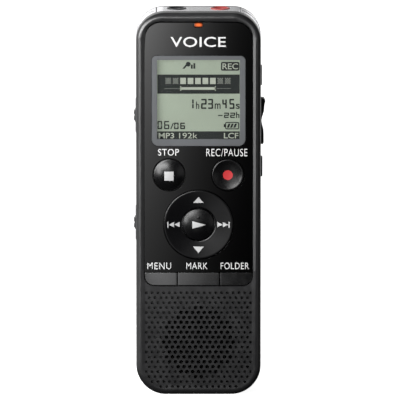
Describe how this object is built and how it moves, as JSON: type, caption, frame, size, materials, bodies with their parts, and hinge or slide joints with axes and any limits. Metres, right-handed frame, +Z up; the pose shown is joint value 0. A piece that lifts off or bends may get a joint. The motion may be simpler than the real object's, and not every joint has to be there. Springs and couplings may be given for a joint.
{
  "type": "handheld voice recorder",
  "caption": "Pocket voice recorder with a screen, round keys, four-way ring, speaker grille, jacks and microphones in a bright top cap, side switches and a hinged battery lid.",
  "frame": {"origin": "centre of the bottom end, midway through the depth of the body", "axes": "+Z up along the length towards the jacks, +Y towards the back, +X to the right as seen from the front"},
  "size_m": [0.0389, 0.0214, 0.1142],
  "materials": {
    "case_black": "fine-grained matte black",
    "gloss_black": "polished black",
    "window": "clear polished",
    "screen_grey": "satin grey print",
    "screen_green": "reflective grey-green display",
    "white_plastic": "milky white",
    "lamp_orange": "tinted lens",
    "key_black": "satin to glossy black",
    "silver": "satin silver plating",
    "jack_black": "semi-gloss black",
    "jack_red": "semi-gloss red",
    "rubber": "silicone",
    "board_green": "solder mask",
    "chip_black": "moulded",
    "spring_steel": "plated",
    "cell_jacket": "printed shrink jacket",
    "cloth_black": "fine mesh"
  },
  "bodies": {
    "case": {"front_case": "case_black", "back_case": "case_black", "front_panel": "gloss_black", "display_window": "window", "lcd_frame": "screen_grey", "lcd_glass": "screen_green", "light_guide": "white_plastic", "indicator_lens": "lamp_orange", "indicator_led": "white_plastic", "keypad_mat": "rubber", "dome_sheet": "spring_steel", "jack_plate": "silver", "headphone_collar": "jack_black", "microphone_collar": "jack_red", "headphone_socket": "jack_black", "microphone_socket": "jack_black", "mic_trim_left": "silver", "mic_trim_right": "silver", "mic_capsule_left": "spring_steel", "mic_capsule_right": "spring_steel", "mic_boot_left": "rubber", "mic_boot_right": "rubber", "hold_switch": "chip_black", "speed_switch": "chip_black", "volume_switch": "chip_black", "upper_side_switch": "chip_black", "lower_side_switch": "chip_black", "usb_socket": "spring_steel", "main_board": "board_green", "processor_chip": "chip_black", "memory_chip": "chip_black", "speaker_cloth": "cloth_black", "speaker_frame": "spring_steel", "speaker_cone": "cloth_black", "speaker_magnet": "spring_steel", "battery_cell_left": "cell_jacket", "battery_cell_right": "cell_jacket", "battery_spring_lower": "spring_steel", "battery_spring_upper": "spring_steel", "contact_bridge": "spring_steel", "contact_tab_positive": "spring_steel", "contact_tab_negative": "spring_steel", "case_screw_top_left": "spring_steel", "case_screw_top_right": "spring_steel", "case_screw_bottom_left": "spring_steel", "case_screw_bottom_right": "spring_steel"},
    "stop_button": {"stop_button": "key_black"},
    "record_button": {"record_button": "key_black"},
    "play_button": {"play_button": "key_black"},
    "ring_actuator": {"ring_actuator": "rubber"},
    "control_ring": {"control_ring": "key_black"},
    "menu_button": {"menu_button": "key_black"},
    "mark_button": {"mark_button": "key_black"},
    "folder_button": {"folder_button": "key_black"},
    "hold_slider": {"hold_slider": "case_black"},
    "speed_slider": {"speed_slider": "case_black"},
    "volume_rocker": {"volume_rocker": "case_black"},
    "upper_side_button": {"upper_side_button": "case_black"},
    "lower_side_button": {"lower_side_button": "case_black"},
    "battery_lid": {"battery_lid": "case_black"}
  },
  "joints": [
    {"name": "stop_press", "type": "slide", "parent": "case", "child": "stop_button", "axis": [0, 1, 0], "range_m": [0, 0.0004], "stiffness_N_per_m": 1500},
    {"name": "record_press", "type": "slide", "parent": "case", "child": "record_button", "axis": [0, 1, 0], "range_m": [0, 0.0004], "stiffness_N_per_m": 1500},
    {"name": "play_press", "type": "slide", "parent": "case", "child": "play_button", "axis": [0, 1, 0], "range_m": [0, 0.0004], "stiffness_N_per_m": 1500},
    {"name": "menu_press", "type": "slide", "parent": "case", "child": "menu_button", "axis": [0, 1, 0], "range_m": [0, 0.00035], "stiffness_N_per_m": 1500},
    {"name": "mark_press", "type": "slide", "parent": "case", "child": "mark_button", "axis": [0, 1, 0], "range_m": [0, 0.00035], "stiffness_N_per_m": 1500},
    {"name": "folder_press", "type": "slide", "parent": "case", "child": "folder_button", "axis": [0, 1, 0], "range_m": [0, 0.00035], "stiffness_N_per_m": 1500},
    {"name": "ring_tilt_up_down", "type": "hinge", "parent": "case", "child": "ring_actuator", "pos_m": [0, -0.0072, 0.05095], "axis": [1, 0, 0], "range_deg": [-1.5, 1.5], "stiffness_Nm_per_rad": 0.3},
    {"name": "ring_tilt_left_right", "type": "hinge", "parent": "ring_actuator", "child": "control_ring", "pos_m": [0, -0.0072, 0.05095], "axis": [0, 0, 1], "range_deg": [-1.5, 1.5], "stiffness_Nm_per_rad": 0.3},
    {"name": "hold_slide", "type": "slide", "parent": "case", "child": "hold_slider", "axis": [0, 0, 1], "range_m": [-0.0015, 0.0015]},
    {"name": "speed_slide", "type": "slide", "parent": "case", "child": "speed_slider", "axis": [0, 0, 1], "range_m": [-0.0015, 0.0015]},
    {"name": "volume_rock", "type": "hinge", "parent": "case", "child": "volume_rocker", "pos_m": [0.016, -0.001, 0.08065], "axis": [0, 1, 0], "range_deg": [-3, 3], "stiffness_Nm_per_rad": 0.12},
    {"name": "upper_side_press", "type": "slide", "parent": "case", "child": "upper_side_button", "axis": [-1, 0, 0], "range_m": [0, 0.0003], "stiffness_N_per_m": 2000},
    {"name": "lower_side_press", "type": "slide", "parent": "case", "child": "lower_side_button", "axis": [-1, 0, 0], "range_m": [0, 0.0003], "stiffness_N_per_m": 2000},
    {"name": "lid_swing", "type": "hinge", "parent": "case", "child": "battery_lid", "pos_m": [0, 0.0093, 0.0132], "axis": [-1, 0, 0], "range_deg": [0, 95]}
  ]
}
